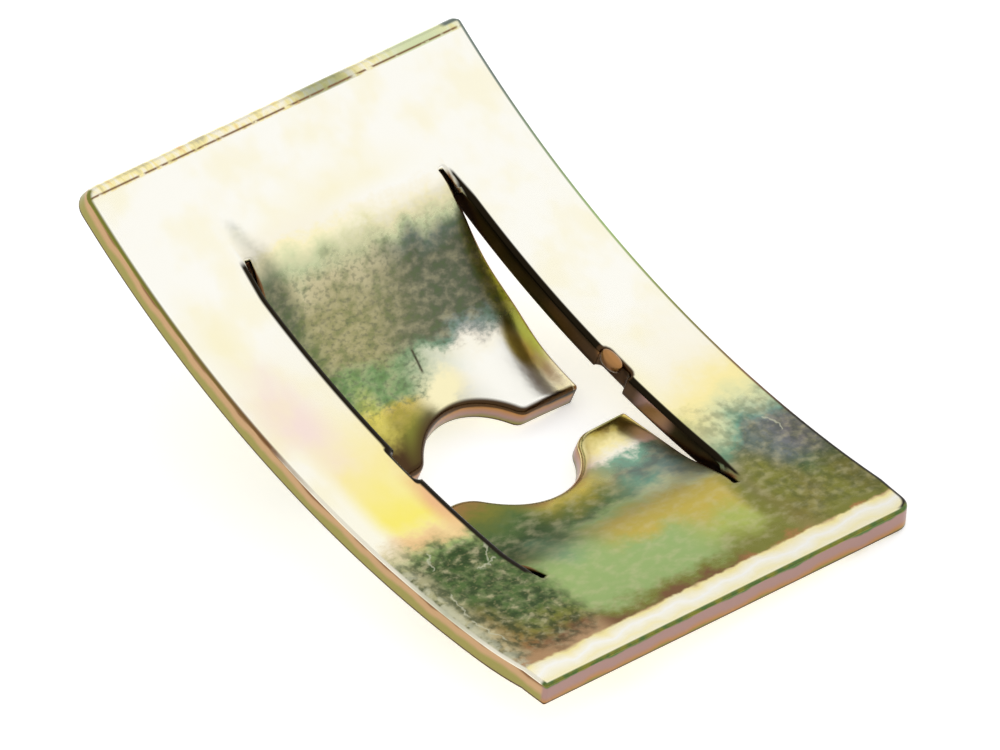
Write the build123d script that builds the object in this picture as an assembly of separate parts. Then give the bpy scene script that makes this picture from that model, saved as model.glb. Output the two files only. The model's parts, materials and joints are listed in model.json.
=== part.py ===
"""Spire nut: one pressed sheet of spring steel with two tongues that grip a screw.

The sheet is modelled as it is pressed, with X along its length, Y across it and Z up out of
its hollow face, and is then laid down as it rests on a table. Sizes are in millimetres.
"""

import os
from math import cos, sin

from build123d import *

# Sheet
width = 11.0
far_end = 7.73
near_end = 7.64
thickness = 0.53
arch_radius = 23.6
far_corners = {"left": 0.4, "right": 0.15}
near_corners = {"left": 0.06, "right": 0.45}
near_right_draw = 0.15
draw_run = 1.1
far_edge_roll = 0.22
near_edge_roll = 0.08
side_edge_roll = 0.1

# Window that is lanced in the sheet, between its two rails
rail_width = 2.48
far_root = 4.85
near_root = 4.85
slit = 0.08
slit_taper_run = 0.9
slit_taper_depth = 0.2
rail_edge_roll = 0.12

# Cut across the window, which parts the two tongues
cut_place = 0.85
cut_width = 0.87
nick_depth = 0.16

# Toes of the two tongues, and the notches in them that grip the core of the screw
screw_core_radius = 1.6
screw_place = 1.15
screw_offset = -0.1
far_toe_place = 0.37
far_toe_corner = 0.3
near_toe_place = 1.6
near_toe_corner = 0.7
toe_edge_roll = 0.18
tongue_side_roll = 0.08

# Upper face of each tongue, as runs from its root and drops below it: on the steep flank
# first, then on the shallow one, where the toe is set, and past the toe
far_tongue = {
    "left": [(0.50, 0.26), (1.85, 1.02), (3.00, 1.33), (3.90, 1.64), (5.90, 2.45)],
    "middle": [(0.50, 0.25), (1.85, 0.99), (2.90, 1.29), (3.70, 1.52), (5.90, 1.74)],
    "right": [(0.50, 0.27), (1.85, 1.06), (3.00, 1.38), (3.80, 1.61), (5.90, 1.69)],
}
near_tongue = {
    "left": [(0.45, 0.22), (1.15, 0.76), (1.80, 1.07), (2.60, 1.40), (4.00, 2.13), (4.90, 2.60)],
    "middle": [(0.45, 0.21), (1.15, 0.67), (1.80, 0.90), (2.60, 1.08), (4.00, 1.46), (4.90, 1.70)],
    "right": [(0.45, 0.20), (1.20, 0.63), (1.85, 0.84), (2.60, 1.04), (4.00, 1.40), (4.90, 1.63)],
}
profile_steps = 24

window_half = width / 2 - rail_width
tongue_half = window_half - slit
deep = 4 * thickness


def arch_point(run, depth=0.0):
    """Side view of the point at a run along the hollow face and a depth below it."""
    angle = run / arch_radius
    radius = arch_radius + depth
    return Vector(radius * sin(angle), arch_radius - radius * cos(angle))


def arch_band(start, end, upper=0.0, lower=thickness):
    """Side view of the arched sheet between two runs, or of a deeper band to cut with."""
    runs = (start, (start + end) / 2, end)
    top = ThreePointArc(*[arch_point(run, upper) for run in runs])
    bottom = ThreePointArc(*[arch_point(run, lower) for run in runs])
    return make_face([top, bottom, Line(top @ 0, bottom @ 0), Line(top @ 1, bottom @ 1)])


def across(face, half_width):
    """Solid of a side view, as wide on both sides of the middle."""
    return extrude(Plane.XZ * face, amount=half_width, both=True)


def upper_face(solid):
    """Face on the hollow side, which with the one under it is the largest."""
    return solid.faces().sort_by(SortBy.AREA)[-2:].sort_by(Axis.Z)[-1]


def corner_waste(end, corners, right_draw):
    """Metal outside the two corners at one end of the sheet, cut square to the arch."""
    edge = arch_point(end)
    angle = end / arch_radius
    outward = end / abs(end)
    square = Plane(
        origin=(edge.X, 0, edge.Y),
        x_dir=(outward * cos(angle), 0, outward * sin(angle)),
        z_dir=(-outward * sin(angle), 0, outward * cos(angle)),
    )
    corner = Polyline(
        (-width, -width / 2),
        (0, -width / 2),
        (0, width / 2 - right_draw),
        (-draw_run, width / 2),
        (-width, width / 2),
        close=True,
    )
    kept = make_face(corner)
    for side, place in (("left", 0), ("right", -1)):
        tip = kept.vertices().filter_by_position(Axis.X, -slit, slit).sort_by(Axis.Y)[place]
        kept = fillet(tip, corners[side])
    waste = Rectangle(2 * draw_run, width + thickness) - kept
    return extrude(square * waste, amount=deep, both=True)


def make_sheet():
    """Arched blank, whose edges are rolled over on the hollow side."""
    sheet = across(arch_band(-far_end, near_end), width / 2)
    sheet = fillet(upper_face(sheet).edges().sort_by(Axis.X)[0], far_edge_roll)
    sheet = fillet(upper_face(sheet).edges().sort_by(Axis.X)[-1], near_edge_roll)
    sheet = fillet(upper_face(sheet).edges().filter_by(GeomType.CIRCLE), side_edge_roll)
    return sheet - corner_waste(-far_end, far_corners, 0) - corner_waste(near_end, near_corners, near_right_draw)


def slit_ends(root, toward, gap):
    """Wedges outside the curved ends of the two slits beside a tongue's root."""
    start = arch_point(root).X
    side = window_half - gap
    corner = Polyline(
        (start + toward * slit_taper_run, side),
        (start - toward * thickness, side - slit_taper_depth - gap),
        (start - toward * thickness, 2 * side),
        (start + toward * slit_taper_run, 2 * side),
        close=True,
    )
    wedge = extrude(make_face(corner), amount=2 * deep, both=True)
    return wedge + mirror(wedge, about=Plane.XZ)


def make_window():
    """Space of the window and of the nicks that the cross cut leaves in the rails."""
    window = across(arch_band(-far_root, near_root, -deep, deep), window_half)
    window -= slit_ends(-far_root, 1, 0)
    window -= slit_ends(near_root, -1, 0)
    cut = Pos(cut_place, 0) * RectangleRounded(cut_width, 2 * (window_half + nick_depth), nick_depth)
    return window + extrude(cut, amount=deep, both=True)


def tongue_side(root, toward, knots):
    """Side view of a tongue, which leaves the arch along its tangent and follows its knots."""
    start = arch_point(root)
    angle = root / arch_radius
    heading = Vector(cos(angle), sin(angle)) * toward
    bends = [start + Vector(toward * run, -drop) for run, drop in knots]
    upper = Spline(start, *bends, tangents=[heading, (bends[-1] - bends[-2])])
    under = []
    for step in range(profile_steps + 1):
        along = upper % (step / profile_steps)
        under.append(upper @ (step / profile_steps) + Vector(along.Y, -along.X) * toward * thickness)
    lower = Spline(*under)
    return make_face([upper, lower, Line(upper @ 0, lower @ 0), Line(upper @ 1, lower @ 1)])


def make_toe_cut(toe_place, toe_corner, toward):
    """Space in front of a toe, with the notch that it has for the core of the screw."""
    front = Pos(toe_place + toward * width / 2, 0) * Rectangle(width, 2 * width)
    opening = front + Pos(screw_place, screw_offset) * Circle(screw_core_radius)
    on_toe = opening.vertices().filter_by_position(Axis.X, toe_place - slit, toe_place + slit)
    inner = on_toe.filter_by_position(Axis.Y, -window_half, window_half)
    return extrude(fillet(inner, toe_corner), amount=2 * deep, both=True)


def roll_tongue(tongue, root, toward):
    """Tongue whose toe and sides are rolled over on the hollow side, except at its root."""
    edges = upper_face(tongue).edges()
    toe = [
        edge
        for edge in edges
        if abs((edge @ 0.5).Y) < tongue_half - slit / 2
        and toward * ((edge @ 0.5).X - root) > 2 * slit_taper_run
    ]
    tongue = fillet(toe, toe_edge_roll)
    sides = [edge for edge in upper_face(tongue).edges() if abs((edge @ 0.5).Y) > tongue_half - slit / 2]
    return fillet(sides, tongue_side_roll)


def make_tongue(root, toward, knots, toe_cut):
    """Tongue whose side view changes from its left side to its right side, so its toe twists."""
    places = {"left": -tongue_half, "middle": 0, "right": tongue_half}
    sections = [
        Plane.XZ.offset(-place) * tongue_side(root, toward, knots[name])
        for name, place in places.items()
    ]
    tongue = loft(sections) - slit_ends(root, toward, slit) - toe_cut
    return roll_tongue(tongue, root, toward)


def make_frame():
    """Sheet round the window, with the edges of its rails rolled over."""
    frame = make_sheet() - make_window()
    edges = upper_face(frame).inner_wires()[0].edges().filter_by(GeomType.CIRCLE)
    return fillet(edges.filter_by(lambda edge: edge.length > width / 4), rail_edge_roll)


def make_nut():
    """The nut as it is pressed, with its hollow face up."""
    far_cut = make_toe_cut(far_toe_place, far_toe_corner, 1)
    near_cut = make_toe_cut(near_toe_place, near_toe_corner, -1)
    far = make_tongue(-far_root, 1, far_tongue, far_cut)
    near = make_tongue(near_root, -1, near_tongue, near_cut)
    return make_frame() + far + near


def lay_down(nut):
    """The nut as it rests, on both ends of the far toe and on what it tips onto ahead of them."""
    points = [edge @ (step / 8) for edge in nut.edges() for step in range(9)]
    far = [point for point in points if point.X < near_toe_place]
    near = [point for point in points if point.X > near_toe_place]
    toe_ends = [[point for point in far if point.Y * side > 0] for side in (-1, 1)]
    up = Vector(0, 0, 1)
    for _ in range(4):
        left, right = [min(end, key=lambda point: point.dot(up)) for end in toe_ends]
        along_toe = (right - left).normalized()
        ahead = along_toe.cross(up).normalized()
        rise = ahead.cross(along_toe)
        climb = [(point - left).dot(rise) / (point - left).dot(ahead) for point in near]
        touching = near[climb.index(min(climb))]
        up = (touching - left).cross(along_toe).normalized()
    lengthwise = Vector(1, 0, 0) - up * up.X
    resting = Plane(origin=left, x_dir=lengthwise, z_dir=up).to_local_coords(nut)
    box = resting.bounding_box()
    return Pos(-box.center().X, -box.center().Y, -box.min.Z) * resting


def main():
    os.makedirs("parts", exist_ok=True)
    nut = lay_down(make_nut())
    print("nut", nut.is_valid, nut.volume, len(nut.solids()), len(nut.faces()))
    export_step(nut, "parts/spire_nut.step")


if __name__ == "__main__":
    main()
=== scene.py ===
"""Looks of the spire nut: its fine pressed mesh, its passivated finish and the studio."""

import json
import math

import bmesh
import bpy
import numpy as np
from mathutils import Matrix, Vector
from mathutils.geometry import delaunay_2d_cdt

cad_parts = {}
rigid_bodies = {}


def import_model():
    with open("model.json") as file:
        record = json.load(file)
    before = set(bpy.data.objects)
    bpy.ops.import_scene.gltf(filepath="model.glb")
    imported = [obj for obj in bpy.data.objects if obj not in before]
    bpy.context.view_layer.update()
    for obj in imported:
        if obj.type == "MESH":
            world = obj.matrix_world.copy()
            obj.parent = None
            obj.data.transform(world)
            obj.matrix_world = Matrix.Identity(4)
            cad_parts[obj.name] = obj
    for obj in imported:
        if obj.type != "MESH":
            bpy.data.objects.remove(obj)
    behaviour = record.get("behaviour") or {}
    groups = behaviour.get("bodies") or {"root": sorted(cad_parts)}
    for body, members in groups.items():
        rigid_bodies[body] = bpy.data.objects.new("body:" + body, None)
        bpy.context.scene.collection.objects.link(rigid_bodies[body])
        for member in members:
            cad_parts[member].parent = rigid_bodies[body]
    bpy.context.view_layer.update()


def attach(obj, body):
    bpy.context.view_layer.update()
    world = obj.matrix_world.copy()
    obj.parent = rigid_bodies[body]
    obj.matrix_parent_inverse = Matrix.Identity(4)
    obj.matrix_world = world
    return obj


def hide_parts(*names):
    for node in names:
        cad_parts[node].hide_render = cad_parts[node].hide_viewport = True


for leftover in list(bpy.data.objects):
    bpy.data.objects.remove(leftover)
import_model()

MM = 0.001

# Sheet as it is pressed, in millimetres: X along it, Y across it, Z up out of its hollow face
WIDTH = 11.0
FAR_END = 7.73
NEAR_END = 7.64
THICKNESS = 0.53
ARCH_RADIUS = 23.6
FAR_CORNERS = {"left": 0.4, "right": 0.15}
NEAR_CORNERS = {"left": 0.06, "right": 0.45}
NEAR_RIGHT_DRAW = 0.15
DRAW_RUN = 1.1
DRAW_BEND = 1.0
RAIL_WIDTH = 2.48
FAR_ROOT = 4.85
NEAR_ROOT = 4.85
SLIT = 0.08
SLIT_TAPER_RUN = 0.9
SLIT_TAPER_DEPTH = 0.2
SLIT_BEND = 1.5
SLIT_END_CORNER = 0.02
CUT_PLACE = 0.85
CUT_WIDTH = 0.87
NICK_DEPTH = 0.16
NICK_CORNER = NICK_DEPTH * 0.9
NICK_MOUTH_CORNER = 0.03
SCREW_CORE_RADIUS = 1.6
SCREW_PLACE = 1.15
SCREW_OFFSET = -0.1
FAR_TOE_PLACE = 0.37
FAR_TOE_CORNER = 0.3
NEAR_TOE_PLACE = 1.6
NEAR_TOE_CORNER = 0.7
TOE_END_CORNER = 0.08
WINDOW_HALF = WIDTH / 2 - RAIL_WIDTH
TONGUE_HALF = WINDOW_HALF - SLIT

# Upper face of each tongue, as runs from its root and drops below it
FAR_TONGUE = {
    "left": [(0.50, 0.26), (1.85, 1.02), (3.00, 1.33), (3.90, 1.64), (5.90, 2.45)],
    "middle": [(0.50, 0.25), (1.85, 0.99), (2.90, 1.29), (3.70, 1.52), (5.90, 1.74)],
    "right": [(0.50, 0.27), (1.85, 1.06), (3.00, 1.38), (3.80, 1.61), (5.90, 1.69)],
}
NEAR_TONGUE = {
    "left": [(0.45, 0.22), (1.15, 0.76), (1.80, 1.07), (2.60, 1.40), (4.00, 2.13), (4.90, 2.60)],
    "middle": [(0.45, 0.21), (1.15, 0.67), (1.80, 0.90), (2.60, 1.08), (4.00, 1.46), (4.90, 1.70)],
    "right": [(0.45, 0.20), (1.20, 0.63), (1.85, 0.84), (2.60, 1.04), (4.00, 1.40), (4.90, 1.63)],
}

# Rolled edges on the hollow side
FAR_EDGE_ROLL = 0.22
NEAR_EDGE_ROLL = 0.08
SIDE_EDGE_ROLL = 0.1
RAIL_EDGE_ROLL = 0.12
TOE_EDGE_ROLL = 0.18
TONGUE_SIDE_ROLL = 0.08
UNDER_EDGE_ROLL = 0.04

# Faint crease behind the near end's left corner, past which the sheet is flatter than the arch
CREASE_START = 5.6
CREASE_PLACE = 6.82
CREASE_HEIGHT = 0.07
CREASE_ROUND = 0.16

# Way up in which the pressed sheet rests, from its own frame
RESTING_UP = Vector((-0.286887, -0.083433, 0.954324)).normalized()

# Mesh: steps in millimetres, rows, and shares of a roll or a step that stay free of points
EDGE_STEP = 0.09
GRID_STEP = 0.17
ROLL_STEPS = 5
ROLL_REACH = 1.3
RING_SPACE = 0.97
GRID_SPACE = 0.4
WALL_ROWS = 5
MERGE_DISTANCE = 1e-7

# Run from a tongue's root to where its walls begin to turn upright, which takes them 1 mm
SQUARE_RUN = 0.2

# Rounds in which the foot of a normal on the upper face is found
FOOT_ROUNDS = 30

# Camera that matches the photograph, with its offsets from the nut's origin in millimetres
CAMERA_AZIMUTH = 45.318
CAMERA_ELEVATION = 38.17
CAMERA_ROLL = 2.926
CAMERA_RIGHT = 0.243
CAMERA_UP = 1.843
CAMERA_DISTANCE = 523.5
CAMERA_LENS = 900
CAMERA_CLIP = (0.01, 10)

# Studio: a broad white window behind and above the nut, in a greyer room that is white low down
WINDOW_TOWARDS = (0.05, 0.64, 0.77)
WINDOW_EDGE = (0.75, 0.87)
WINDOW_LEVEL = 1.0
ROOM_LEVEL = 0.82
LOW_WALL = (0.16, 0.05)
FLOOR_HALF = 0.6
FLOOR_WHITE = 0.95
FLOOR_ROUGHNESS = 0.9
FLOOR_GLOW = 0.42


def screen(red, green, blue):
    """Colour that looks like these screen values, from 0 to 255, in plain white light."""
    shares = [value / 255 for value in (red, green, blue)]
    return (*[s / 12.92 if s < 0.04 else ((s + 0.055) / 1.055) ** 2.4 for s in shares], 1.0)


# Colours of the passivated zinc, which also serve for the painted highlights, reflections and
# shade on it
CREAM = screen(253, 251, 242)
IVORY = screen(250, 244, 224)
PRIMROSE = screen(250, 241, 196)
STRAW = screen(250, 236, 170)
YELLOW = screen(250, 236, 118)
BLUSH = screen(247, 226, 216)
PEACH = screen(238, 188, 138)
PEAR = screen(214, 222, 176)
SAGE = screen(160, 184, 116)
GOLD = screen(198, 178, 84)
OLIVE = screen(130, 130, 58)
MOSS = screen(88, 112, 62)
FOREST = screen(64, 86, 46)
TEAL = screen(126, 170, 145)
SLATE = screen(112, 124, 114)
ASH = screen(98, 102, 84)
SAND = screen(212, 202, 160)
KHAKI = screen(166, 160, 114)
STONE = screen(206, 206, 178)
TAN = screen(190, 154, 114)
OCHRE = screen(152, 144, 82)
BARK = screen(78, 58, 38)
DUSK = screen(132, 126, 138)
FERN = screen(126, 158, 104)
LIME = screen(178, 188, 100)
PINE = screen(46, 64, 36)
UMBER = screen(128, 92, 60)
BRONZE = screen(176, 128, 78)
MAUVE = screen(162, 130, 122)
INK = screen(34, 28, 18)

# Spans of the ramps over a wall's depth and over a noise, and the bump in metres
WALL_RAMP = (0, 0.6)
NOISE_RAMP = (0.2, 0.8)
BUMP_STRENGTH = 0.5
BUMP_HEIGHT = 0.00001

# Lump of dragged metal in the right nick
BURR_PLACE = (0.75, 3.03, -0.02)
BURR_SIZES = (0.33, 0.18, 0.17)
BURR_WAVE = 0.12
BURR_WAVE_RATES = (3.1, 2.7)
BURR_TINT_SPREAD = 0.2

# Pale scratches on the near part of the hollow face, as their ends
SCRATCH_WIDTH = 0.04
SCRATCHES = (
    ((3.3, -3.1), (3.9, -3.6)),
    ((3.0, -4.5), (3.5, -4.8)),
    ((4.2, -5.0), (4.9, -5.15)),
    ((3.9, -3.35), (4.0, -3.9)),
    ((5.0, -5.2), (5.9, -5.05)),
    ((3.7, 4.75), (3.9, 4.95)),
    ((3.9, 4.95), (4.15, 4.85)),
)


class Profile:
    """Smooth side view of a tongue's upper face, as a drop below its root at each run."""

    def __init__(self, knots, start_slope):
        self.runs = np.array([0.0] + [run for run, drop in knots])
        self.drops = np.array([0.0] + [drop for run, drop in knots])
        gaps = np.diff(self.runs)
        rises = np.diff(self.drops) / gaps
        count = len(self.runs)
        system = np.zeros((count, count))
        target = np.zeros(count)
        system[0, 0] = 1
        target[0] = start_slope
        system[-1, -1] = 1
        target[-1] = rises[-1]
        for i in range(1, count - 1):
            system[i, i - 1] = gaps[i]
            system[i, i] = 2 * (gaps[i - 1] + gaps[i])
            system[i, i + 1] = gaps[i - 1]
            target[i] = 3 * (gaps[i] * rises[i - 1] + gaps[i - 1] * rises[i])
        self.slopes = np.linalg.solve(system, target)

    def drop(self, run):
        """Drop at each run, and its slope there."""
        run = np.clip(run, 0, self.runs[-1])
        i = np.clip(np.searchsorted(self.runs, run, side="right") - 1, 0, len(self.runs) - 2)
        gap = self.runs[i + 1] - self.runs[i]
        t = (run - self.runs[i]) / gap
        before, after = self.drops[i], self.drops[i + 1]
        leaving, arriving = self.slopes[i] * gap, self.slopes[i + 1] * gap
        height = (
            before * (1 + 2 * t) * (1 - t) ** 2
            + leaving * t * (1 - t) ** 2
            + after * t**2 * (3 - 2 * t)
            - arriving * t**2 * (1 - t)
        )
        slope = (
            6 * t * (t - 1) * (before - after)
            + leaving * (1 - t) * (1 - 3 * t)
            + arriving * t * (3 * t - 2)
        ) / gap
        return height, slope


class Tongue:
    """Upper face of one tongue, between its root and past its toe."""

    def __init__(self, root, toward, knots):
        self.toward = toward
        self.start = ARCH_RADIUS * math.sin(root / ARCH_RADIUS)
        self.height = ARCH_RADIUS * (1 - math.cos(root / ARCH_RADIUS))
        slope = -toward * math.tan(root / ARCH_RADIUS)
        self.left = Profile(knots["left"], slope)
        self.middle = Profile(knots["middle"], slope)
        self.right = Profile(knots["right"], slope)

    def surface(self, x, y):
        """Height of the upper face at each point, and its slope along X."""
        run = self.toward * (x - self.start)
        side = y / TONGUE_HALF
        shares = (side * (side - 1) / 2, 1 - side**2, side * (side + 1) / 2)
        drop = np.zeros_like(x)
        slope = np.zeros_like(x)
        for share, profile in zip(shares, (self.left, self.middle, self.right)):
            part_drop, part_slope = profile.drop(run)
            drop += share * part_drop
            slope += share * part_slope
        return self.height - drop, -self.toward * slope

    def holds(self, x, y):
        """Whether each point lies past this tongue's root, between the slits."""
        past = self.toward * (x - self.start) > 0
        before = self.toward * (x - CUT_PLACE) < 0
        return past & before & (np.abs(y) < (WINDOW_HALF + TONGUE_HALF) / 2)


TONGUES = (Tongue(-FAR_ROOT, 1, FAR_TONGUE), Tongue(NEAR_ROOT, -1, NEAR_TONGUE))


def end_crease(x, y):
    """Height and slope above the arch at the near left corner, where the sheet is flatter."""
    rise = np.clip((x - CREASE_START) / (CREASE_PLACE - CREASE_START), 0, None)
    swell = CREASE_HEIGHT * rise**2
    swell_slope = 2 * CREASE_HEIGHT * rise / (CREASE_PLACE - CREASE_START)
    flat_slope = -CREASE_HEIGHT / (NEAR_END - CREASE_PLACE)
    flat = CREASE_HEIGHT + flat_slope * (x - CREASE_PLACE)
    share = np.clip((x - CREASE_PLACE) / CREASE_ROUND + 0.5, 0, 1)
    share = share**2 * (3 - 2 * share)
    to_left = np.clip(0.5 - y / WIDTH, 0, 1)
    height = swell + (flat - swell) * share
    slope = swell_slope + (flat_slope - swell_slope) * share
    return height * to_left, slope * to_left


def upper_surface(x, y):
    """Height and slope of the hollow face and of the tongues' upper faces."""
    above, above_slope = end_crease(x, y)
    height = ARCH_RADIUS - np.sqrt(ARCH_RADIUS**2 - x**2) + above
    slope = x / np.sqrt(ARCH_RADIUS**2 - x**2) + above_slope
    for tongue in TONGUES:
        on = tongue.holds(x, y)
        tongue_height, tongue_slope = tongue.surface(x[on], y[on])
        height[on] = tongue_height
        slope[on] = tongue_slope
    return height, slope


def lower_surface(x, y, foot):
    """Height of the under side at each place x, found from its normal's foot on the upper face."""
    for _ in range(FOOT_ROUNDS):
        height, slope = upper_surface(foot, y)
        foot = x - THICKNESS * slope / np.sqrt(1 + slope**2)
    return height - THICKNESS / np.sqrt(1 + slope**2)


def squareness(x, y):
    """One where a wall stands square to the sheet, and none on the toes, which are cut upright."""
    square = np.ones_like(x)
    for tongue in TONGUES:
        on = tongue.holds(x, y)
        square[on] = np.clip(1 + SQUARE_RUN - tongue.toward * (x[on] - tongue.start), 0, 1)
    return square


def pressed_points(plan):
    """Points of the upper face and of the under side for each point of the plan."""
    x, y = plan[:, 0].copy(), plan[:, 1].copy()
    height, slope = upper_surface(x, y)
    upper = np.stack([x, y, height], 1)
    lean = THICKNESS * slope / np.sqrt(1 + slope**2)
    under_x = x + squareness(x, y) * lean
    lower = np.stack([under_x, y, lower_surface(under_x, y, x)], 1)
    return upper, lower


def arc(centre, radius, start, end):
    """Points of an arc between two angles in degrees."""
    steps = max(4, int(abs(math.radians(end - start)) * radius / EDGE_STEP))
    angles = np.radians(np.linspace(start, end, steps + 1))
    return [(centre[0] + radius * math.cos(a), centre[1] + radius * math.sin(a)) for a in angles]


def round_corner(before, corner, after, radius):
    """Points that round one corner of an outline."""
    corner = np.array(corner)
    back = np.array(before) - corner
    ahead = np.array(after) - corner
    back = back / np.linalg.norm(back)
    ahead = ahead / np.linalg.norm(ahead)
    half = math.acos(np.clip(back @ ahead, -1, 1)) / 2
    if radius == 0 or half > math.pi / 2 - 0.01:
        return [tuple(corner)]
    reach = radius / math.tan(half)
    centre = corner + (back + ahead) / np.linalg.norm(back + ahead) * radius / math.sin(half)
    first = corner + back * reach - centre
    last = corner + ahead * reach - centre
    start = math.degrees(math.atan2(first[1], first[0]))
    end = math.degrees(math.atan2(last[1], last[0]))
    turn = (end - start + 180) % 360 - 180
    return arc(centre, radius, start, start + turn)


def toe_path(toe, corner, toward):
    """Front edge of a toe with its notch, from its right end to its left."""
    centre = (SCREW_PLACE, SCREW_OFFSET)
    bead_x = toe - toward * corner
    reach = SCREW_CORE_RADIUS + corner
    bead_y = math.sqrt(reach**2 - (SCREW_PLACE - bead_x) ** 2)
    outward = math.degrees(math.atan2(bead_y, bead_x - SCREW_PLACE))
    toe_side = 0 if toward > 0 else 180
    inner = outward - 180 if toward > 0 else outward + 180
    right = arc((bead_x, SCREW_OFFSET + bead_y), corner, toe_side, inner)
    sweep = 360 - outward if toward > 0 else -outward
    notch = arc(centre, SCREW_CORE_RADIUS, outward, sweep)
    left = [(x, 2 * SCREW_OFFSET - y) for x, y in reversed(right)]
    return right + notch[1:-1] + left


def hole_outline():
    """Outline of the window, with its slits, nicks and notches, and the roll of each edge."""
    pieces = []
    toes = ((FAR_TOE_PLACE, FAR_TOE_CORNER), (NEAR_TOE_PLACE, NEAR_TOE_CORNER))
    for tongue, (toe, corner) in zip(TONGUES, toes):
        toward = tongue.toward
        taper = tongue.start + toward * SLIT_TAPER_RUN
        share = SLIT_TAPER_RUN / (SLIT_TAPER_RUN + THICKNESS)
        tongue_end = TONGUE_HALF - (SLIT_TAPER_DEPTH + SLIT) * share
        rail_end = WINDOW_HALF - SLIT_TAPER_DEPTH * share
        nick = CUT_PLACE - toward * CUT_WIDTH / 2
        nick_top = WINDOW_HALF + NICK_DEPTH
        rail = [
            ((CUT_PLACE, nick_top), 0),
            ((nick, nick_top), NICK_CORNER),
            ((nick, WINDOW_HALF), NICK_MOUTH_CORNER),
            ((taper, WINDOW_HALF), SLIT_BEND),
            ((tongue.start, rail_end), SLIT_END_CORNER),
        ]
        side = [
            ((tongue.start, tongue_end), SLIT_END_CORNER),
            ((taper, TONGUE_HALF), SLIT_BEND),
            ((toe, TONGUE_HALF), TOE_END_CORNER),
        ]
        pieces.append((rail, side, toe_path(toe, corner, toward)))
    outline, rolls = [], []
    for index, (rail, side, toe) in enumerate(pieces):
        corners = rail + side + [(toe[0], 0)]
        right, right_rolls = [], []
        for i, (corner, radius) in enumerate(corners):
            points = [corner]
            if 0 < i < len(corners) - 1:
                points = round_corner(corners[i - 1][0], corner, corners[i + 1][0], radius)
            roll = RAIL_EDGE_ROLL if i < len(rail) else TONGUE_SIDE_ROLL
            right += points
            right_rolls += [roll] * len(points)
        left = [(x, -y) for x, y in reversed(right)]
        half = right[:-1] + toe + [(toe[0][0], 2 * SCREW_OFFSET - toe[0][1])] + left[1:]
        half_rolls = right_rolls[:-1] + [TOE_EDGE_ROLL] * (len(toe) + 1) + right_rolls[::-1][1:]
        if index == 1:
            half.reverse()
            half_rolls.reverse()
        outline += half[:-1]
        rolls += half_rolls[:-1]
    return outline, rolls


def sheet_outline():
    """Outline of the sheet and the roll of each edge."""
    half = WIDTH / 2
    corners = [
        ((-FAR_END, -half), FAR_CORNERS["left"]),
        ((NEAR_END, -half), NEAR_CORNERS["left"]),
        ((NEAR_END, half - NEAR_RIGHT_DRAW), NEAR_CORNERS["right"]),
        ((NEAR_END - DRAW_RUN, half), DRAW_BEND),
        ((-FAR_END, half), FAR_CORNERS["right"]),
    ]
    outline, rolls = [], []
    for i, (corner, radius) in enumerate(corners):
        before, after = corners[i - 1][0], corners[(i + 1) % len(corners)][0]
        end = FAR_END if corner[0] < 0 else NEAR_END
        end_roll = FAR_EDGE_ROLL if corner[0] < 0 else NEAR_EDGE_ROLL
        for run, y in round_corner(before, corner, after, radius):
            outline.append((ARCH_RADIUS * math.sin(run / ARCH_RADIUS), y))
            turned = (end - abs(run)) / max(radius, SIDE_EDGE_ROLL)
            rolls.append(end_roll + (SIDE_EDGE_ROLL - end_roll) * min(1, turned))
    return outline, rolls


def resample(outline, rolls):
    """Outline as even short steps that keep its corners, with the roll at each point."""
    points, spread = [], []
    count = len(outline)
    for i in range(count):
        start, end = np.array(outline[i]), np.array(outline[(i + 1) % count])
        length = np.linalg.norm(end - start)
        if length < 1e-6:
            continue
        steps = max(1, round(length / EDGE_STEP))
        for k in range(steps):
            share = k / steps
            points.append(start + (end - start) * share)
            spread.append(rolls[i] * (1 - share) + rolls[(i + 1) % count] * share)
    return np.array(points), np.array(spread)


def signed_area(points):
    """Area of a closed outline, which is positive when it runs anticlockwise."""
    after = np.roll(points, -1, 0)
    return float(np.sum(points[:, 0] * after[:, 1] - after[:, 0] * points[:, 1])) / 2


def inward(points):
    """Direction into the metal at each point of an outline that has the metal on its left."""
    ahead = np.roll(points, -1, 0) - points
    back = points - np.roll(points, 1, 0)
    ahead /= np.linalg.norm(ahead, axis=1)[:, None]
    back /= np.linalg.norm(back, axis=1)[:, None]
    along = ahead + back
    along /= np.linalg.norm(along, axis=1)[:, None]
    return np.stack([-along[:, 1], along[:, 0]], 1)


def edge_distance(points, loops):
    """Distance of each point from the nearest edge, and that edge's roll."""
    nearest = np.full(len(points), 1e9)
    roll = np.zeros(len(points))
    for outline, rolls in loops:
        start, end = outline, np.roll(outline, -1, 0)
        end_rolls = np.roll(rolls, -1)
        for i in range(len(outline)):
            step = end[i] - start[i]
            share = np.clip((points - start[i]) @ step / (step @ step), 0, 1)
            away = np.linalg.norm(points - start[i] - share[:, None] * step, axis=1)
            closer = away < nearest
            nearest[closer] = away[closer]
            roll[closer] = (rolls[i] * (1 - share) + end_rolls[i] * share)[closer]
    return nearest, roll


def inside(points, outline):
    """Whether each point lies inside a closed outline."""
    within = np.zeros(len(points), bool)
    after = np.roll(outline, -1, 0)
    for (x0, y0), (x1, y1) in zip(outline, after):
        if y0 == y1:
            continue
        crosses = (y0 > points[:, 1]) != (y1 > points[:, 1])
        at = x0 + (points[:, 1] - y0) * (x1 - x0) / (y1 - y0)
        within ^= crosses & (points[:, 0] < at)
    return within


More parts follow.
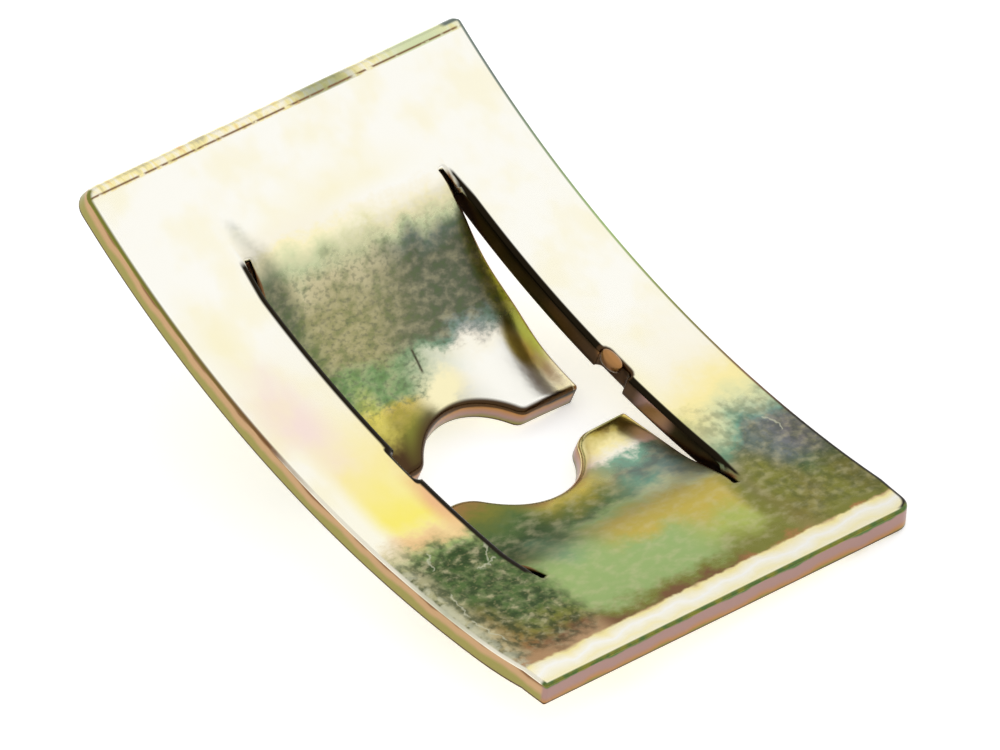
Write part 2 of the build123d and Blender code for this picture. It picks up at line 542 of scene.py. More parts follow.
def plan_points(loops):
    """Points of the plan: both outlines, rings beside them for the rolled edges, and a grid."""
    outer, hole = loops[0][0], loops[1][0]
    rings = []
    for outline, rolls in loops:
        normals = inward(outline)
        for step in range(1, ROLL_STEPS + 2):
            reach = rolls * (1 - math.cos(math.radians(90 * min(step / ROLL_STEPS, 1))))
            if step > ROLL_STEPS:
                reach = rolls * ROLL_REACH
            ring = outline + normals * reach[:, None]
            away, _ = edge_distance(ring, loops)
            rings.append(ring[away > reach * RING_SPACE])
    xs = np.arange(-FAR_END, NEAR_END, GRID_STEP)
    ys = np.arange(-WIDTH / 2, WIDTH / 2, GRID_STEP)
    grid = np.stack(np.meshgrid(xs, ys), -1).reshape(-1, 2)
    grid = grid[inside(grid, outer) & ~inside(grid, hole)]
    away, roll = edge_distance(grid, loops)
    grid = grid[away > roll * ROLL_REACH + GRID_STEP * GRID_SPACE]
    return np.concatenate([outer, hole] + rings + [grid])


def triangulate(points, loops):
    """Triangles of the plan between its two outlines."""
    edges = []
    first = 0
    for outline, _ in loops:
        count = len(outline)
        edges += [(first + i, first + (i + 1) % count) for i in range(count)]
        first += count
    flat = [Vector(point) for point in points]
    verts, _, faces, sources, _, _ = delaunay_2d_cdt(flat, edges, [], 0, MERGE_DISTANCE)
    plan = np.array([tuple(vert) for vert in verts])
    triangles = np.array([face for face in faces if len(face) == 3])
    centres = plan[triangles].mean(1)
    keep = inside(centres, loops[0][0]) & ~inside(centres, loops[1][0])
    origin = np.array([source[0] if source else -1 for source in sources])
    return plan, triangles[keep], origin


def make_nut():
    """Fine mesh of the nut, with its rolled edges and sheared walls."""
    loops = []
    for turn, (outline, rolls) in zip((1, -1), (sheet_outline(), hole_outline())):
        points, spread = resample(outline, rolls)
        if signed_area(points) * turn < 0:
            points, spread = points[::-1], spread[::-1]
        loops.append((points, spread))
    plan, triangles, origin = triangulate(plan_points(loops), loops)
    upper, lower = pressed_points(plan)
    through = lower - upper
    depth = np.linalg.norm(through, axis=1)
    through /= depth[:, None]
    away, roll = edge_distance(plan, loops)
    near_edge = np.clip(1 - away / roll, 0, 1)
    sunk = roll * (1 - np.sqrt(1 - near_edge**2))
    near_under = np.clip(1 - away / UNDER_EDGE_ROLL, 0, 1)
    raised = UNDER_EDGE_ROLL * (1 - np.sqrt(1 - near_under**2))
    top = upper + through * sunk[:, None]
    bottom = lower - through * raised[:, None]

    count = len(plan)
    verts = [top, bottom]
    faces = [tuple(t) for t in triangles]
    faces += [(a + count, c + count, b + count) for a, b, c in triangles]
    place = [np.column_stack([plan, sunk]), np.column_stack([plan, depth - raised])]
    edge = [away, away]
    total = 2 * count
    where = {int(source): i for i, source in enumerate(origin) if source >= 0}
    first = 0
    for outline, _ in loops:
        length = len(outline)
        ring = np.array([where[first + i] for i in range(length)])
        rows = [ring]
        for row in range(1, WALL_ROWS):
            share = row / WALL_ROWS
            verts.append(top[ring] * (1 - share) + bottom[ring] * share)
            level = sunk[ring] * (1 - share) + (depth - raised)[ring] * share
            place.append(np.column_stack([plan[ring], level]))
            edge.append(np.zeros(length))
            rows.append(np.arange(total, total + length))
            total += length
        rows.append(ring + count)
        for above, below in zip(rows, rows[1:]):
            for i in range(length):
                j = (i + 1) % length
                faces.append((above[i], below[i], below[j], above[j]))
        first += length
    return np.concatenate(verts), faces, np.concatenate(place), np.concatenate(edge)


def make_burr():
    """Rounded lump of dragged metal in the right nick."""
    mesh = bpy.data.meshes.new("burr")
    shape = bmesh.new()
    bmesh.ops.create_icosphere(shape, subdivisions=4, radius=1)
    shape.to_mesh(mesh)
    shape.free()
    ball = np.array([v.co for v in mesh.vertices])
    long_rate, high_rate = BURR_WAVE_RATES
    ripple = np.sin(long_rate * ball[:, 0] + 1) * np.cos(high_rate * ball[:, 2])
    wave = 1 + BURR_WAVE * ripple
    points = ball * wave[:, None] * np.array(BURR_SIZES) + np.array(BURR_PLACE)
    faces = [tuple(f.vertices) for f in mesh.polygons]
    bpy.data.meshes.remove(mesh)
    place = np.tile([*BURR_PLACE[:2], THICKNESS / 2], (len(points), 1))
    place[:, 2] -= BURR_TINT_SPREAD * ball[:, 2]
    return points, faces, place, np.zeros(len(points))


def joined(parts):
    """Points, faces and attributes of several meshes as one."""
    points, faces, places, edges = [], [], [], []
    for part_points, part_faces, part_places, part_edges in parts:
        start = sum(len(p) for p in points)
        points.append(part_points)
        faces += [tuple(int(i) + start for i in face) for face in part_faces]
        places.append(part_places)
        edges.append(part_edges)
    return np.concatenate(points), faces, np.concatenate(places), np.concatenate(edges)


def lay_down(points):
    """Pressed points in metres, laid down with the bounding box's bottom centred on the origin."""
    along = (Vector((1, 0, 0)) - RESTING_UP * RESTING_UP.x).normalized()
    across = RESTING_UP.cross(along)
    turn = np.array([along, across, RESTING_UP])
    laid = points @ turn.T
    low, high = laid.min(0), laid.max(0)
    centre = np.array([(low[0] + high[0]) / 2, (low[1] + high[1]) / 2, low[2]])
    return (laid - centre) * MM


def build_nut():
    """Object of the nut, in place of the plain solid."""
    points, faces, place, edge = joined([make_nut(), make_burr()])
    mesh = bpy.data.meshes.new("pressed_sheet")
    mesh.from_pydata([tuple(p) for p in lay_down(points)], [], faces)
    mesh.validate()
    mesh.shade_smooth()
    pressed = mesh.attributes.new("pressed", "FLOAT_VECTOR", "POINT")
    pressed.data.foreach_set("vector", place.astype(np.float32).ravel())
    away = mesh.attributes.new("edge", "FLOAT", "POINT")
    away.data.foreach_set("value", edge.astype(np.float32))
    nut = bpy.data.objects.new("pressed_sheet", mesh)
    bpy.context.scene.collection.objects.link(nut)
    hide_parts("spire_nut")
    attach(nut, "root")
    return nut


def view_axes(azimuth, elevation, roll=0.0):
    """Right, up and back directions of a view, with azimuth 0 looking along +Y."""
    a, e, r = (math.radians(angle) for angle in (azimuth, elevation, roll))
    back = Vector((math.sin(a) * math.cos(e), -math.cos(a) * math.cos(e), math.sin(e)))
    level = Vector((math.cos(a), math.sin(a), 0))
    upright = back.cross(level)
    right = level * math.cos(r) + upright * math.sin(r)
    up = upright * math.cos(r) - level * math.sin(r)
    return right, up, back


def placed(name, data, location, axes):
    """Object in the scene that looks against the last of its three axes."""
    item = bpy.data.objects.new(name, data)
    turn = Matrix([list(axis) for axis in axes]).transposed().to_4x4()
    item.matrix_world = Matrix.Translation(location) @ turn
    bpy.context.scene.collection.objects.link(item)
    return item


def make_camera():
    """Camera at the photograph's viewing angle."""
    right, up, back = view_axes(CAMERA_AZIMUTH, CAMERA_ELEVATION, CAMERA_ROLL)
    data = bpy.data.cameras.new("camera")
    data.lens = CAMERA_LENS
    data.clip_start, data.clip_end = CAMERA_CLIP
    location = (right * CAMERA_RIGHT + up * CAMERA_UP + back * CAMERA_DISTANCE) * MM
    bpy.context.scene.camera = placed("camera", data, location, (right, up, back))


class Nodes:
    """Short calls that add nodes to one tree and link them."""

    def __init__(self, tree):
        self.tree = tree

    def put(self, socket, value):
        """Link a node's output to a socket, or set the socket to a plain value."""
        if isinstance(value, bpy.types.NodeSocket):
            self.tree.links.new(value, socket)
        else:
            socket.default_value = value

    def add(self, kind, inputs, **settings):
        """Node with its settings and its inputs."""
        node = self.tree.nodes.new(kind)
        for name, setting in settings.items():
            setattr(node, name, setting)
        for name, value in inputs.items():
            self.put(node.inputs[name], value)
        return node

    def sum(self, operation, *values):
        """Result of a sum on plain values."""
        node = self.add("ShaderNodeMath", dict(enumerate(values)), operation=operation)
        return node.outputs[0]

    def all_of(self, *shares):
        """Product of shares, which is one only where all of them are."""
        product = shares[0]
        for share in shares[1:]:
            product = self.sum("MULTIPLY", product, share)
        return product

    def ease(self, value, low, high):
        """Smooth step from none at one value to one at another."""
        inputs = {"Value": value, "From Min": low, "From Max": high}
        node = self.add("ShaderNodeMapRange", inputs, interpolation_type="SMOOTHSTEP")
        return node.outputs["Result"]

    def within(self, value, low, high, soft):
        """One between two values, with soft ends."""
        return self.all_of(
            self.ease(value, low - soft, low + soft), self.ease(value, high + soft, high - soft)
        )

    def wavered(self, value, noise, reach):
        """Value that a noise moves up and down."""
        return self.sum("MULTIPLY_ADD", self.sum("SUBTRACT", noise, 0.5), reach, value)

    def noise(self, at, scale, detail):
        """Even noise round one half."""
        inputs = {"Vector": at, "Scale": scale, "Detail": detail}
        return self.add("ShaderNodeTexNoise", inputs).outputs["Fac"]

    def stretched(self, at, sizes, turn=0.0):
        """Place that is stretched along its axes, after a turn about Z in degrees."""
        inputs = {"Vector": at, "Scale": sizes, "Rotation": (0, 0, math.radians(turn))}
        return self.add("ShaderNodeMapping", inputs).outputs["Vector"]

    def ramp(self, value, low, high, stops):
        """Colour that changes along a value, from stops given as place and colour."""
        share = self.add("ShaderNodeMapRange", {"Value": value, "From Min": low, "From Max": high})
        node = self.add("ShaderNodeValToRGB", {"Fac": share.outputs["Result"]})
        elements = node.color_ramp.elements
        while len(elements) < len(stops):
            elements.new(1.0)
        for element, (at, _) in zip(elements, stops):
            element.position = (at - low) / (high - low)
        for element, (_, color) in zip(elements, stops):
            element.color = color
        return node.outputs["Color"]

    def over(self, under, share, color):
        """One colour laid over another."""
        inputs = {"Factor": share, "A": under, "B": color}
        node = self.add("ShaderNodeMix", {}, data_type="RGBA")
        for name, value in inputs.items():
            self.put(next(s for s in node.inputs if s.name == name and s.enabled), value)
        return next(s for s in node.outputs if s.enabled)

    def layers(self, color, rows):
        """Colours laid over one another, from rows of a colour and the shares that limit it."""
        for tint, *shares in rows:
            color = self.over(color, self.all_of(*shares), tint)
        return color

    def away(self, x, y, centre, sizes=(1, 1)):
        """Distance from a centre, in shares of the half sizes of an ellipse round it."""
        dx = self.sum("DIVIDE", self.sum("SUBTRACT", x, centre[0]), sizes[0])
        dy = self.sum("DIVIDE", self.sum("SUBTRACT", y, centre[1]), sizes[1])
        squares = self.sum("ADD", self.sum("MULTIPLY", dx, dx), self.sum("MULTIPLY", dy, dy))
        return self.sum("SQRT", squares)

    def spot(self, x, y, centre, sizes, soft=0.5):
        """Share inside a soft ellipse on the sheet."""
        return self.ease(self.away(x, y, centre, sizes), 1 + soft, 1 - soft)

    def stroke(self, x, y, start, end, width):
        """Share along a straight scratch between two points of the sheet."""
        run = (end[0] - start[0], end[1] - start[1])
        length = math.hypot(*run)
        cosine, sine = run[0] / length, run[1] / length
        dx = self.sum("SUBTRACT", x, start[0])
        dy = self.sum("SUBTRACT", y, start[1])
        along = self.sum("MULTIPLY_ADD", dx, cosine, self.sum("MULTIPLY", dy, sine))
        beside = self.sum("MULTIPLY_ADD", dy, cosine, self.sum("MULTIPLY", dx, -sine))
        across = self.ease(self.sum("ABSOLUTE", beside), width, 0.0)
        return self.all_of(across, self.within(along, 0, length, width))


class Sheet(Nodes):
    """Nodes of the nut's finish, with the place on the pressed sheet and the noises there."""

    def __init__(self, tree):
        super().__init__(tree)
        at = self.add("ShaderNodeAttribute", {}, attribute_name="pressed").outputs["Vector"]
        apart = self.add("ShaderNodeSeparateXYZ", {"Vector": at}).outputs
        self.at = at
        self.x, self.y, self.depth = apart["X"], apart["Y"], apart["Z"]
        self.edge = self.add("ShaderNodeAttribute", {}, attribute_name="edge").outputs["Fac"]
        self.cloud = self.noise(at, 1.3, 2.0)
        self.fleck = self.noise(at, 4.0, 3.0)
        self.grain = self.noise(self.stretched(at, (1.0, 0.6, 1.0)), 12.0, 3.0)
        self.hue = self.noise(self.stretched(at, (1.0, 0.6, 1.0), 30), 5.0, 4.0)
        self.streak = self.noise(self.stretched(at, (0.9, 0.9, 0.4)), 1.0, 3.0)
        self.bent = self.wavered(self.wavered(self.x, self.cloud, 1.0), self.grain, 0.3)


def make_floor():
    """Pale floor that is white where the nut's shadow doesn't reach it."""
    mesh = bpy.data.meshes.new("floor")
    signs = ((-1, -1), (1, -1), (1, 1), (-1, 1))
    corners = [(x * FLOOR_HALF, y * FLOOR_HALF, 0) for x, y in signs]
    mesh.from_pydata(corners, [], [(0, 1, 2, 3)])
    floor = bpy.data.objects.new("floor", mesh)
    bpy.context.scene.collection.objects.link(floor)
    material = bpy.data.materials.new("floor")
    material.use_nodes = True
    nodes = Nodes(material.node_tree)
    shader = material.node_tree.nodes["Principled BSDF"]
    shader.inputs["Base Color"].default_value = (FLOOR_WHITE, FLOOR_WHITE, FLOOR_WHITE, 1)
    shader.inputs["Roughness"].default_value = FLOOR_ROUGHNESS
    shader.inputs["Specular IOR Level"].default_value = 0
    shader.inputs["Emission Color"].default_value = (1, 1, 1, 1)
    ray = nodes.add("ShaderNodeLightPath", {})
    seen = nodes.sum("MAXIMUM", ray.outputs["Is Camera Ray"], ray.outputs["Is Glossy Ray"])
    seen = nodes.sum("MAXIMUM", seen, ray.outputs["Is Transmission Ray"])
    nodes.put(shader.inputs["Emission Strength"], nodes.sum("MULTIPLY", seen, FLOOR_GLOW))
    mesh.materials.append(material)


def make_world():
    """Studio room with one broad window of light, whose walls are white down to the floor."""
    world = bpy.data.worlds.new("studio")
    bpy.context.scene.world = world
    world.use_nodes = True
    nodes = Nodes(world.node_tree)
    towards = nodes.add("ShaderNodeTexCoord", {}).outputs["Generated"]
    window = Vector(WINDOW_TOWARDS).normalized()
    dot = nodes.add("ShaderNodeVectorMath", {0: towards, 1: window}, operation="DOT_PRODUCT")
    height = nodes.add("ShaderNodeSeparateXYZ", {"Vector": towards}).outputs["Z"]
    lit = nodes.ease(dot.outputs["Value"], *WINDOW_EDGE)
    room = nodes.sum("ADD", ROOM_LEVEL, nodes.sum("MULTIPLY", lit, WINDOW_LEVEL - ROOM_LEVEL))
    low = nodes.ease(height, *LOW_WALL)
    level = nodes.sum("ADD", room, nodes.sum("MULTIPLY", low, nodes.sum("SUBTRACT", 1.0, room)))
    background = world.node_tree.nodes["Background"]
    nodes.put(background.inputs["Strength"], level)
    background.inputs["Color"].default_value = (1, 1, 1, 1)


def rail_tint(n):
    """Colour of the hollow face round the window, from the far end to the near end: the zinc's
    passivation colours with a painted reflection, pale cream where the face mirrors the bright
    window and dark olive and green towards the near end where it mirrors the darker room.
    """
    x, y, bent = n.x, n.y, n.bent
    left = n.ramp(bent, -8, 8, [
        (-7.7, CREAM), (-3.5, CREAM), (-1.5, IVORY), (0.4, STRAW), (2.0, YELLOW), (2.6, STRAW),
        (3.0, SAGE), (3.35, FOREST), (4.0, MOSS), (5.4, MOSS), (6.0, OLIVE), (6.4, UMBER),
        (6.8, TAN),
    ])
    late = n.sum("MULTIPLY_ADD", n.ease(y, 4.4, 3.2), -0.6, bent)
    right = n.ramp(late, -8, 8, [
        (-7.7, CREAM), (-0.5, CREAM), (1.4, IVORY), (2.3, STRAW), (3.05, PEAR), (3.5, TEAL),
        (3.8, SLATE), (4.6, SLATE), (5.1, MOSS), (5.8, OLIVE), (6.8, OLIVE), (6.95, BRONZE),
    ])
    return n.layers(left, [
        (right, n.ease(y, 1.5, 4.0)),
        (PRIMROSE, n.spot(x, y, (-5.2, 0.2), (0.6, 1.6), 0.9), 0.5),
        # Painted shade at the far end of the left slot
        (SLATE, n.spot(bent, y, (-4.95, -2.7), (0.45, 0.2), 0.9), 0.6),
        (DUSK, n.spot(bent, y, (4.2, 4.9), (0.8, 0.5), 0.9), 0.6),
        (PEACH, n.spot(bent, y, (2.7, -4.4), (0.25, 1.0), 0.9), 0.7),
        (BLUSH, n.spot(bent, y, (-1.1, -4.6), (1.2, 0.6), 0.8)),
        (PRIMROSE, n.spot(bent, y, (-3.4, -4.8), (1.0, 0.5), 0.9), 0.5),
        (PEACH, n.spot(bent, y, (1.9, -3.25), (0.8, 0.3), 0.8)),
        (CREAM, n.ease(y, -4.6, -5.2), n.within(bent, -0.5, 2.7, 0.5), 0.85),
        (BRONZE, n.spot(bent, y, (5.4, 3.4), (0.7, 0.7), 0.9), 0.45),
        (BRONZE, n.spot(bent, y, (6.0, -5.0), (0.9, 0.5), 0.9), 0.6),
        (SAND, n.ease(y, -4.8, -5.2), n.within(bent, 2.6, 6.6, 0.3), 0.6),
        (BARK, n.ease(y, 4.5, 5.2), n.within(bent, 3.8, 6.5, 0.5), 0.4),
        (OLIVE, n.spot(x, y, (5.2, 3.5), (0.9, 0.5))),
    ])


def near_tint(n):
    """Colour of the near tongue and of the hollow face behind its root: passivation colours with
    painted reflection, dark moss and forest on the slope that mirrors the dark room, and a painted
    straw and ivory highlight where the right prong's tip levels out.
    """
    y, bent = n.y, n.bent
    left = n.ramp(bent, 1, 8, [
        (1.8, BRONZE), (2.3, OLIVE), (2.9, MOSS), (3.4, FOREST), (3.9, MOSS), (4.6, SAGE),
        (6.2, SAGE), (6.55, OLIVE), (6.85, UMBER),
    ])
    middle = n.ramp(bent, 1, 8, [
        (2.6, BRONZE), (2.9, GOLD), (3.3, OLIVE), (3.6, MOSS), (3.9, SAGE), (4.4, GOLD),
        (4.8, GOLD), (5.3, SAGE), (6.3, SAGE), (6.65, OLIVE), (6.85, UMBER),
    ])
    # Right prong: a painted highlight in straw and ivory on its level tip, then painted dark teal
    # and slate reflection on its slope
    right = n.ramp(bent, 1, 8, [
        (1.7, GOLD), (2.2, STRAW), (2.55, IVORY), (2.75, TEAL), (3.1, SLATE), (3.5, TEAL),
        (3.9, PEAR), (4.4, GOLD), (5.1, GOLD), (5.7, LIME), (6.5, OLIVE), (6.75, OLIVE),
        (6.95, BRONZE),
    ])
    return n.layers(left, [
        (middle, n.ease(y, -1.4, -0.3)),
        (right, n.ease(y, 0.3, 1.7)),
        (OLIVE, n.spot(bent, y, (5.5, 2.8), (1.0, 0.35))),
        (DUSK, n.spot(bent, y, (3.6, 2.4), (0.3, 0.4), 0.9), 0.5),
        (TEAL, n.spot(bent, y, (4.2, -1.9), (0.5, 0.4), 0.9), 0.4),
    ])


def far_tint(n):
    """Colour of the far tongue, with its one dark scratch, painted shade on the bent-down left
    prong beside its notch, and painted highlights and reflections where its tip levels out.
    """
    x, y, bent = n.x, n.y, n.bent
    left = n.ramp(bent, -6, 1, [
        (-5.0, IVORY), (-4.75, PRIMROSE), (-4.3, PEAR), (-3.9, SAND), (-3.3, KHAKI),
        (-2.2, KHAKI), (-1.8, FERN), (-1.2, FERN), (-0.95, GOLD), (-0.5, OLIVE),
    ])
    # Right side: dark ash on the slope, partly painted dark reflection, and a painted cream
    # highlight where the tip levels out
    right = n.ramp(bent, -6, 1, [
        (-5.0, CREAM), (-4.65, IVORY), (-4.4, PRIMROSE), (-4.15, PEAR), (-3.85, SLATE),
        (-3.5, ASH), (-2.2, ASH), (-2.05, SLATE), (-1.85, TEAL), (-1.6, IVORY), (-1.1, CREAM),
        (-0.6, CREAM),
    ])
    rim = n.sum("MULTIPLY_ADD", x, 0.16, y)
    from_screw = n.away(x, y, (SCREW_PLACE, SCREW_OFFSET))
    shade_beside_notch = n.ease(from_screw, SCREW_CORE_RADIUS + 0.45, SCREW_CORE_RADIUS + 0.1)
    return n.layers(left, [
        (right, n.ease(y, -1.2, 1.4)),
        # Painted highlight near the tip
        (PRIMROSE, n.spot(bent, y, (-0.9, 0.0), (0.45, 0.6))),
        (MOSS, n.ease(y, -1.9, -2.5), n.within(bent, -4.2, -1.0, 0.4), 0.7),
        # Painted reflection bands, olive and lime, along the right edge where it curves down
        (OLIVE, n.ease(rim, 1.9, 2.2), n.within(bent, -3.9, -1.2, 0.3)),
        (LIME, n.ease(rim, 2.2, 2.45), n.within(bent, -3.9, -0.6, 0.3)),
        (GOLD, n.spot(x, y, (-1.0, 2.35), (0.5, 0.22))),
        # Painted dark reflection on the right toe corner, which turns away
        (UMBER, n.spot(bent, y, (-0.35, 2.6), (0.45, 0.2), 0.9), 0.8),
        (DUSK, n.spot(bent, y, (-1.8, 1.6), (0.2, 0.7), 0.9), 0.6),
        # Painted shadow along the left edge next to the root
        (ASH, n.spot(bent, y, (-4.0, -2.6), (0.9, 0.35), 0.9), 0.8),
        # Painted shade on the bent-down left prong near the toe
        (BARK, n.ease(y, -1.3, -1.9), n.ease(bent, -0.9, -0.4)),
        (INK, n.stroke(x, y, (-1.95, -0.12), (-1.4, -0.2), 0.06)),
        # Painted yellow fringe of the tip highlight
        (YELLOW, n.spot(bent, y, (-1.0, -1.9), (0.5, 0.25), 0.9), 0.6),
        (SAND, n.spot(bent, y, (-3.8, -0.2), (0.45, 0.8), 0.9), 0.6),
        (ASH, n.spot(bent, y, (-2.2, 0.2), (0.35, 0.7), 0.9), 0.6),
        # Painted shade beside the notch, where the left prong bends down
        (BARK, shade_beside_notch, n.ease(y, -0.3, -0.8), 0.85),
    ])


def wall_tint(n):
    """Colour of the sheared walls all round, of the sheet and of the window, with painted shade on
    the window's walls and painted reflections on its toes and right rail.
    """
    x, y = n.x, n.y
    level = n.wavered(n.depth, n.streak, 0.3)
    side = n.ramp(level, *WALL_RAMP, [
        (0.06, UMBER), (0.12, TAN), (0.22, TAN), (0.32, OCHRE), (0.5, OCHRE),
    ])
    near = n.ramp(level, *WALL_RAMP, [
        (0.05, MOSS), (0.1, MAUVE), (0.3, MAUVE), (0.42, BRONZE), (0.5, OLIVE),
    ])
    # Painted shade: the window's walls dark brown and black, as they stand in shadow
    inner = n.ramp(level, *WALL_RAMP, [(0.05, INK), (0.2, BARK), (0.4, BARK), (0.5, INK)])
    # Toe ends: a painted dark reflection under the rounded top edge, then their own bronze and
    # mauve
    toes = n.ramp(level, *WALL_RAMP, [(0.12, INK), (0.2, BRONZE), (0.35, MAUVE), (0.5, OLIVE)])
    copper = n.ramp(level, *WALL_RAMP, [(0.12, BRONZE), (0.2, UMBER), (0.32, BARK)])
    in_window = n.all_of(n.within(x, -5.0, 5.0, 0.05), n.within(y, -3.3, 3.3, 0.05))
    return n.layers(side, [
        (near, n.ease(x, 7.35, 7.45)),
        (inner, in_window),
        (toes, in_window, n.within(y, -2.82, 2.82, 0.03)),
        # Painted reflection, rose, on the right rail's inner wall
        (MAUVE, n.spot(x, y, (2.2, 3.1), (0.45, 0.3)), n.ease(y, 2.95, 3.0)),
        (INK, n.ease(n.depth, 0.475, 0.5)),
        (copper, n.spot(x, y, BURR_PLACE[:2], (0.35, 0.12))),
    ])


def mottling(n, far_zone):
    """Share of the darker places, and their mottled layers, strongest on the left rail."""
    y, bent, hue, grain = n.y, n.bent, n.hue, n.grain
    near = n.within(bent, 2.9, 6.6, 0.25)
    far_end = n.sum("MULTIPLY_ADD", n.ease(y, 0.2, -0.8), 0.9, -1.75)
    before_end = n.ease(n.sum("SUBTRACT", bent, far_end), 0.3, -0.3)
    far = n.all_of(far_zone, n.ease(bent, -4.6, -4.0), before_end)
    on_rails = n.sum("MAXIMUM", n.ease(y, -2.5, -3.2), n.all_of(n.ease(y, 2.8, 3.6), 0.5))
    rails = n.all_of(near, on_rails)
    dark = n.sum("MAXIMUM", near, far)
    return dark, [
        (SAND, dark, n.ease(hue, 0.4, 0.75), 0.35),
        (MOSS, far, n.ease(hue, 0.55, 0.3), 0.45),
        (ASH, far, n.ease(grain, 0.55, 0.3), 0.5),
        (PINE, rails, n.ease(n.fleck, 0.62, 0.36), 0.75),
        (KHAKI, rails, n.ease(grain, 0.52, 0.72), 0.4),
        (SAND, rails, n.ease(hue, 0.58, 0.72), n.ease(y, 3.0, -3.0), 0.4),
    ]


def wear(n):
    """Layers of the pale wear beside the left edge and of the scratches."""
    pale = n.all_of(n.ease(n.y, -5.1, -5.4), n.ease(n.x, 2.8, 3.6))
    patches = n.sum("ADD", n.hue, n.all_of(n.ease(n.y, -4.9, -5.4), 0.1))
    x = n.wavered(n.x, n.fleck, 0.5)
    y = n.wavered(n.y, n.hue, 0.3)
    scratches = [
        (STONE, n.stroke(x, y, start, end, SCRATCH_WIDTH), 0.6) for start, end in SCRATCHES
    ]
    return [(STONE, pale, n.ease(patches, 0.5, 0.62), 0.65), *scratches]


def near_end_highlight(n):
    """Layer of the painted highlight along the near end, where the flatter strip behind the crease
    mirrors the window.
    """
    tint = n.ramp(n.sum("ADD", n.x, n.all_of(n.cloud, 0.5)), 6.8, 8.0, [
        (7.0, TAN), (7.12, STRAW), (7.35, CREAM), (7.6, PRIMROSE), (7.85, IVORY),
    ])
    return tint, n.ease(n.sum("MULTIPLY_ADD", n.fleck, 0.15, n.x), 6.87, 6.95)


def far_roll(n):
    """Layers of the far end's rolled edge: a beaded band with a broken seam along it."""
    x, y = n.x, n.y
    beads = n.ramp(n.noise(n.stretched(n.at, (0.4, 1.0, 0.4)), 2.4, 3.0), *NOISE_RAMP, [
        (0.36, SAND), (0.44, STRAW), (0.52, IVORY), (0.6, STRAW), (0.68, PEACH),
    ])
    beads = n.layers(beads, [
        (PEAR, n.within(y, 3.2, 5.2, 0.8)),
        (MOSS, n.within(n.bent, -8.6, -7.0, 0.1), n.within(y, 0.6, 2.2, 0.5), 0.6),
    ])
    on_face = n.ease(n.depth, 0.4, 0.3)
    return [
        (beads, n.ease(x, -7.28, -7.32), on_face),
        (UMBER, n.within(x, -7.37, -7.33, 0.02), on_face, n.ease(n.hue, 0.36, 0.5)),
        (OLIVE, n.ease(x, -7.62, -7.66), n.ease(n.fleck, 0.3, 0.5), 0.8),
    ]


def painted_edge_lines(n):
    """Layers of the thin lines along the other rolled edges, of the sheet and of the window:
    painted dark reflection and shade where the rolls turn away, black in the slots, and painted
    highlights on the left edge and the near toe.
    """
    x, y, edge = n.x, n.y, n.edge
    left = n.ramp(n.bent, -7, 7, [
        (-6.0, OLIVE), (-1.0, UMBER), (0.5, IVORY), (3.0, IVORY), (4.5, STONE), (6.0, IVORY),
    ])
    right = n.ramp(x, -7, 7, [(-6.0, SLATE), (-2.0, SAGE), (0.5, OLIVE), (2.5, UMBER), (4.0, INK)])
    near = n.ramp(n.hue, *NOISE_RAMP, [(0.4, MOSS), (0.6, OLIVE)])
    near_toe = n.ramp(y, -3, 3, [(-0.5, OLIVE), (0.5, BRONZE), (1.3, STRAW), (2.2, OLIVE)])
    slots = n.all_of(n.within(x, -4.7, 4.7, 0.1), n.ease(edge, 0.16, 0.09))
    rails = n.sum("MAXIMUM", n.within(y, -3.14, -2.99, 0.02), n.within(y, 2.99, 3.14, 0.02))
    left_slot_shade = n.all_of(n.within(x, -4.8, 4.6, 0.1), n.within(y, -3.3, -2.99, 0.02))
    tongues = n.sum("MAXIMUM", n.within(y, -2.97, -2.8, 0.02), n.within(y, 2.8, 2.97, 0.02))
    nicks = n.all_of(n.within(x, 0.3, 1.35, 0.03), n.within(y, -3.4, 3.4, 0.03))
    past_tongues = n.ease(n.sum("ABSOLUTE", y), 2.98, 3.02)
    toes = n.all_of(n.within(y, -2.8, 2.8, 0.03), n.ease(edge, 0.14, 0.06))
    return [
        # Left edge roll: mostly a thin painted highlight in ivory
        (left, n.ease(edge, 0.08, 0.03), n.ease(y, -5.2, -5.3)),
        (right, n.ease(edge, 0.15, 0.09), n.ease(y, 4.9, 5.1)),
        (near, n.ease(edge, 0.09, 0.05), n.ease(x, 7.3, 7.4)),
        # Painted shade in the slots, along the rails' inner edges
        (INK, slots, rails),
        (BARK, nicks, n.ease(edge, 0.12, 0.06), past_tongues),
        # Painted shade, widest, where the left rail's rolled edge hides the lower tongue
        (INK, left_slot_shade, n.ease(edge, 0.24, 0.17)),
        # Painted shade along the tongues' side edges
        (UMBER, slots, tongues, n.ease(edge, 0.09, 0.05)),
        # Painted dark reflection on the far toe's rolled top edge
        (BARK, n.within(x, -0.8, 0.5, 0.05), toes),
        # Near toe's roll: a painted straw highlight between painted olive and bronze where it
        # curves down
        (near_toe, n.within(x, 1.5, 3.2, 0.05), toes),
    ]


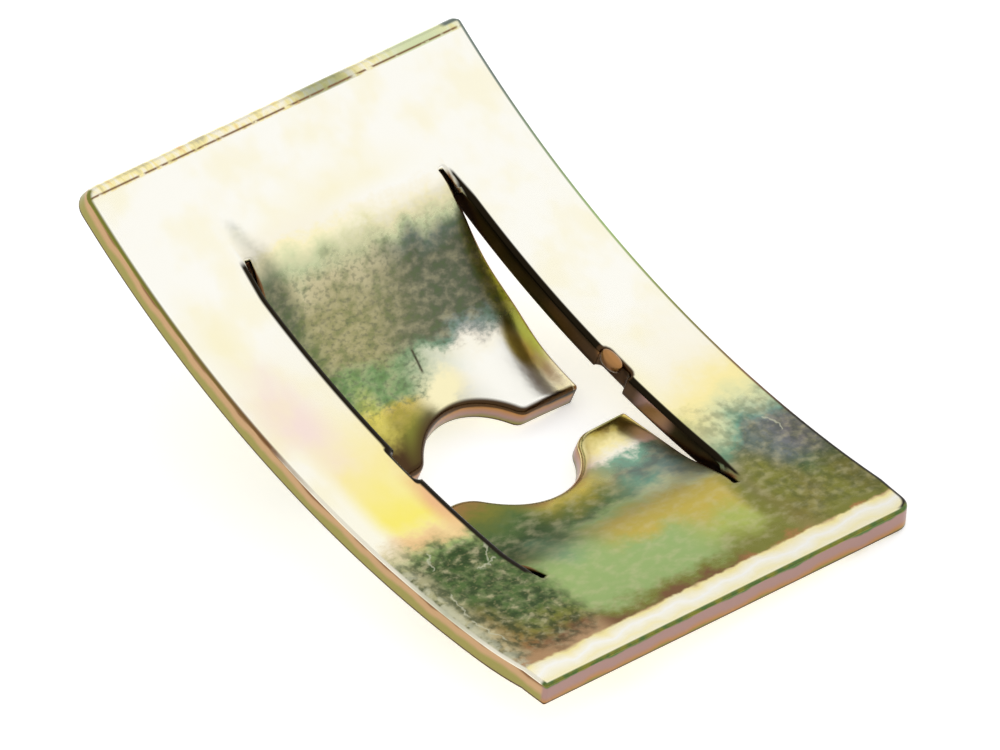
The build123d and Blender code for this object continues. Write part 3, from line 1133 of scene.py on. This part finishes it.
def plated_steel():
    """Yellow-passivated zinc on spring steel, with painted highlights, reflections and shade laid
    into its colour.
    """
    material = bpy.data.materials.new("plated_steel")
    material.use_nodes = True
    shader = material.node_tree.nodes["Principled BSDF"]
    n = Sheet(material.node_tree)
    tinge = n.all_of(n.ease(n.noise(n.at, 0.7, 3.0), 0.42, 0.68), n.ease(n.x, 2.0, 0.5), 0.45)
    near_zone = n.all_of(n.within(n.y, -2.95, 2.9, 0.3), n.ease(n.x, 0.9, 1.0))
    far_zone = n.all_of(n.within(n.y, -2.98, 2.98, 0.03), n.within(n.x, -5.2, 0.9, 0.3))
    dark, mottles = mottling(n, far_zone)
    wall = n.all_of(n.ease(n.edge, 0.004, 0.002), n.ease(n.depth, 0.04, 0.06))
    back = n.ramp(n.noise(n.at, 0.45, 4.0), *NOISE_RAMP, [
        (0.34, SAGE), (0.42, GOLD), (0.5, IVORY), (0.56, PRIMROSE), (0.64, BLUSH), (0.72, PEAR),
    ])
    color = n.layers(rail_tint(n), [
        (PRIMROSE, tinge),
        (near_tint(n), near_zone),
        (far_tint(n), far_zone),
        *mottles,
        *wear(n),
        near_end_highlight(n),
        *far_roll(n),
        *painted_edge_lines(n),
        (wall_tint(n), wall),
        (BARK, n.ease(n.depth, 0.46, 0.48), n.ease(n.edge, 0.06, 0.04)),
        (back, n.ease(n.depth, 0.42, 0.46), n.ease(n.edge, 0.04, 0.06)),
    ])
    n.put(shader.inputs["Base Color"], color)
    shader.inputs["Metallic"].default_value = 1
    rough = n.sum("MULTIPLY_ADD", n.cloud, 0.12, 0.14)
    rough = n.sum("MULTIPLY_ADD", n.sum("MAXIMUM", dark, wall), 0.12, rough)
    n.put(shader.inputs["Roughness"], rough)
    grain_height = n.sum("MULTIPLY_ADD", dark, 0.4, 0.2)
    height = n.sum("MULTIPLY_ADD", n.grain, grain_height, n.sum("MULTIPLY", n.fleck, 0.4))
    bump = {"Height": height, "Strength": BUMP_STRENGTH, "Distance": BUMP_HEIGHT}
    n.put(shader.inputs["Normal"], n.add("ShaderNodeBump", bump).outputs["Normal"])
    return material


nut = build_nut()
nut.data.materials.append(plated_steel())
make_camera()
make_floor()
make_world()
bpy.context.scene.view_settings.view_transform = "Standard"
